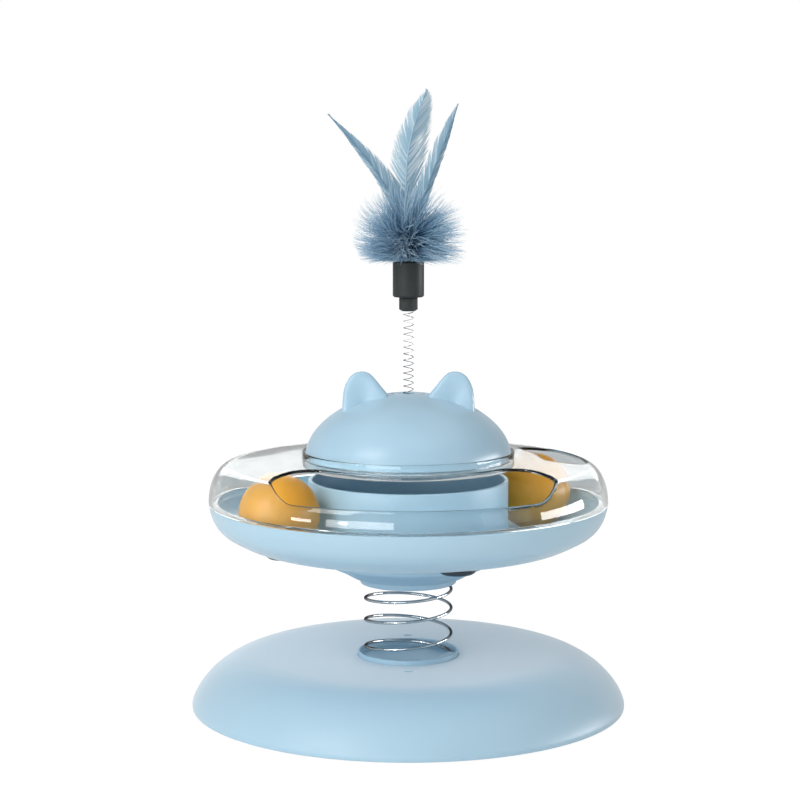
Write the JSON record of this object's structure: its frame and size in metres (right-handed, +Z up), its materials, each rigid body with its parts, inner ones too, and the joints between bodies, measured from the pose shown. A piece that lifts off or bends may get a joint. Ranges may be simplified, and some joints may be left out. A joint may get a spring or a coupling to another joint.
{
  "type": "cat teaser toy",
  "caption": "Round weighted base with a coil spring under a spinning ball track, a treat cup under a clear windowed cover, and a lid with cat ears and a feather teaser on a thin spring.",
  "frame": {"origin": "on the table, under the centre of the base", "axes": "+Z up along the toy's axle; the front that the picture shows faces -Y; +X is the picture's right"},
  "size_m": [0.2168, 0.2168, 0.3075],
  "materials": {
    "base_plastic": "moulded polypropylene, pale blue, satin",
    "floor_plastic": "moulded polypropylene, pale blue, plain",
    "bowl_plastic": "moulded ABS, pale blue, semi-gloss",
    "hub_plastic": "moulded ABS, pale blue, semi-gloss",
    "lid_plastic": "moulded ABS, pale blue, satin",
    "clear_plastic": "clear polystyrene, glossy",
    "ball_plastic": "moulded plastic, orange yellow, smooth",
    "outlet_rubber": "dark blue-grey rubber, glossy",
    "pad_rubber": "dark rubber, matt",
    "bush_plastic": "natural acetal, satin",
    "plated_steel": "zinc-plated steel",
    "spring_steel": "bright nickel-plated spring wire",
    "black_plastic": "moulded plastic, charcoal black, satin",
    "down": "dyed down, dusty blue, soft",
    "dyed_feather": "dyed feather, light blue, matt"
  },
  "bodies": {
    "base": {"base_shell": "base_plastic", "base_floor": "floor_plastic", "ballast_ring": "plated_steel", "spring_cup": "base_plastic", "foot_pad_1": "pad_rubber", "foot_pad_2": "pad_rubber", "foot_pad_3": "pad_rubber", "foot_pad_4": "pad_rubber", "base_screw_1": "plated_steel", "base_screw_2": "plated_steel", "base_screw_3": "plated_steel", "base_screw_4": "plated_steel"},
    "spring": {"main_spring": "spring_steel"},
    "pivot": {"spring_seat": "hub_plastic", "axle": "plated_steel", "thrust_washer": "bush_plastic", "axle_washer": "plated_steel", "axle_screw": "plated_steel"},
    "saucer": {"lower_bush": "bush_plastic", "upper_bush": "bush_plastic", "saucer_bowl": "bowl_plastic", "hub_cover": "hub_plastic", "treat_drum": "bowl_plastic", "drum_screw_1": "plated_steel", "drum_screw_2": "plated_steel", "drum_screw_3": "plated_steel", "treat_outlet_1": "outlet_rubber", "treat_outlet_2": "outlet_rubber", "treat_outlet_3": "outlet_rubber", "treat_outlet_4": "outlet_rubber", "track_cover": "clear_plastic"},
    "left_ball": {"ball_left_top": "ball_plastic", "ball_left_bottom": "ball_plastic"},
    "right_ball": {"ball_right_top": "ball_plastic", "ball_right_bottom": "ball_plastic"},
    "cap": {"lid": "lid_plastic", "whip_plug": "lid_plastic"},
    "whip": {"whip_spring": "spring_steel"},
    "stem": {"teaser_connector": "black_plastic"},
    "head": {"teaser_sleeve": "black_plastic", "fluff": "down", "feather_left": "dyed_feather", "feather_centre": "dyed_feather", "feather_right": "dyed_feather"}
  },
  "joints": [
    {"name": "rock_x", "type": "hinge", "parent": "base", "child": "spring", "pos_m": [0, 0, 0.0453], "axis": [1, 0, 0], "range_deg": [-20, 20], "stiffness_Nm_per_rad": 0.8, "deforming": ["main_spring"]},
    {"name": "rock_y", "type": "hinge", "parent": "spring", "child": "pivot", "pos_m": [0, 0, 0.0453], "axis": [0, 1, 0], "range_deg": [-20, 20], "stiffness_Nm_per_rad": 0.8},
    {"name": "spin", "type": "hinge", "parent": "pivot", "child": "saucer", "pos_m": [0, 0, 0.0817], "axis": [0, 0, 1], "continuous": true},
    {"name": "left_ball_run", "type": "hinge", "parent": "saucer", "child": "left_ball", "pos_m": [0, 0, 0.10305], "axis": [0, 0, 1], "range_deg": [-70, 70]},
    {"name": "right_ball_run", "type": "hinge", "parent": "saucer", "child": "right_ball", "pos_m": [0, 0, 0.10305], "axis": [0, 0, 1], "range_deg": [-70, 70]},
    {"name": "lid_lift", "type": "slide", "parent": "saucer", "child": "cap", "axis": [0, 0, 1], "range_m": [0, 0.03]},
    {"name": "whip_x", "type": "hinge", "parent": "cap", "child": "whip", "pos_m": [0, 0, 0.17795], "axis": [1, 0, 0], "range_deg": [-45, 45], "stiffness_Nm_per_rad": 0.05, "deforming": ["whip_spring"]},
    {"name": "whip_y", "type": "hinge", "parent": "whip", "child": "stem", "pos_m": [0, 0, 0.17795], "axis": [0, 1, 0], "range_deg": [-45, 45], "stiffness_Nm_per_rad": 0.05},
    {"name": "teaser_pull", "type": "slide", "parent": "stem", "child": "head", "axis": [0, 0, 1], "range_m": [0, 0.012]}
  ]
}
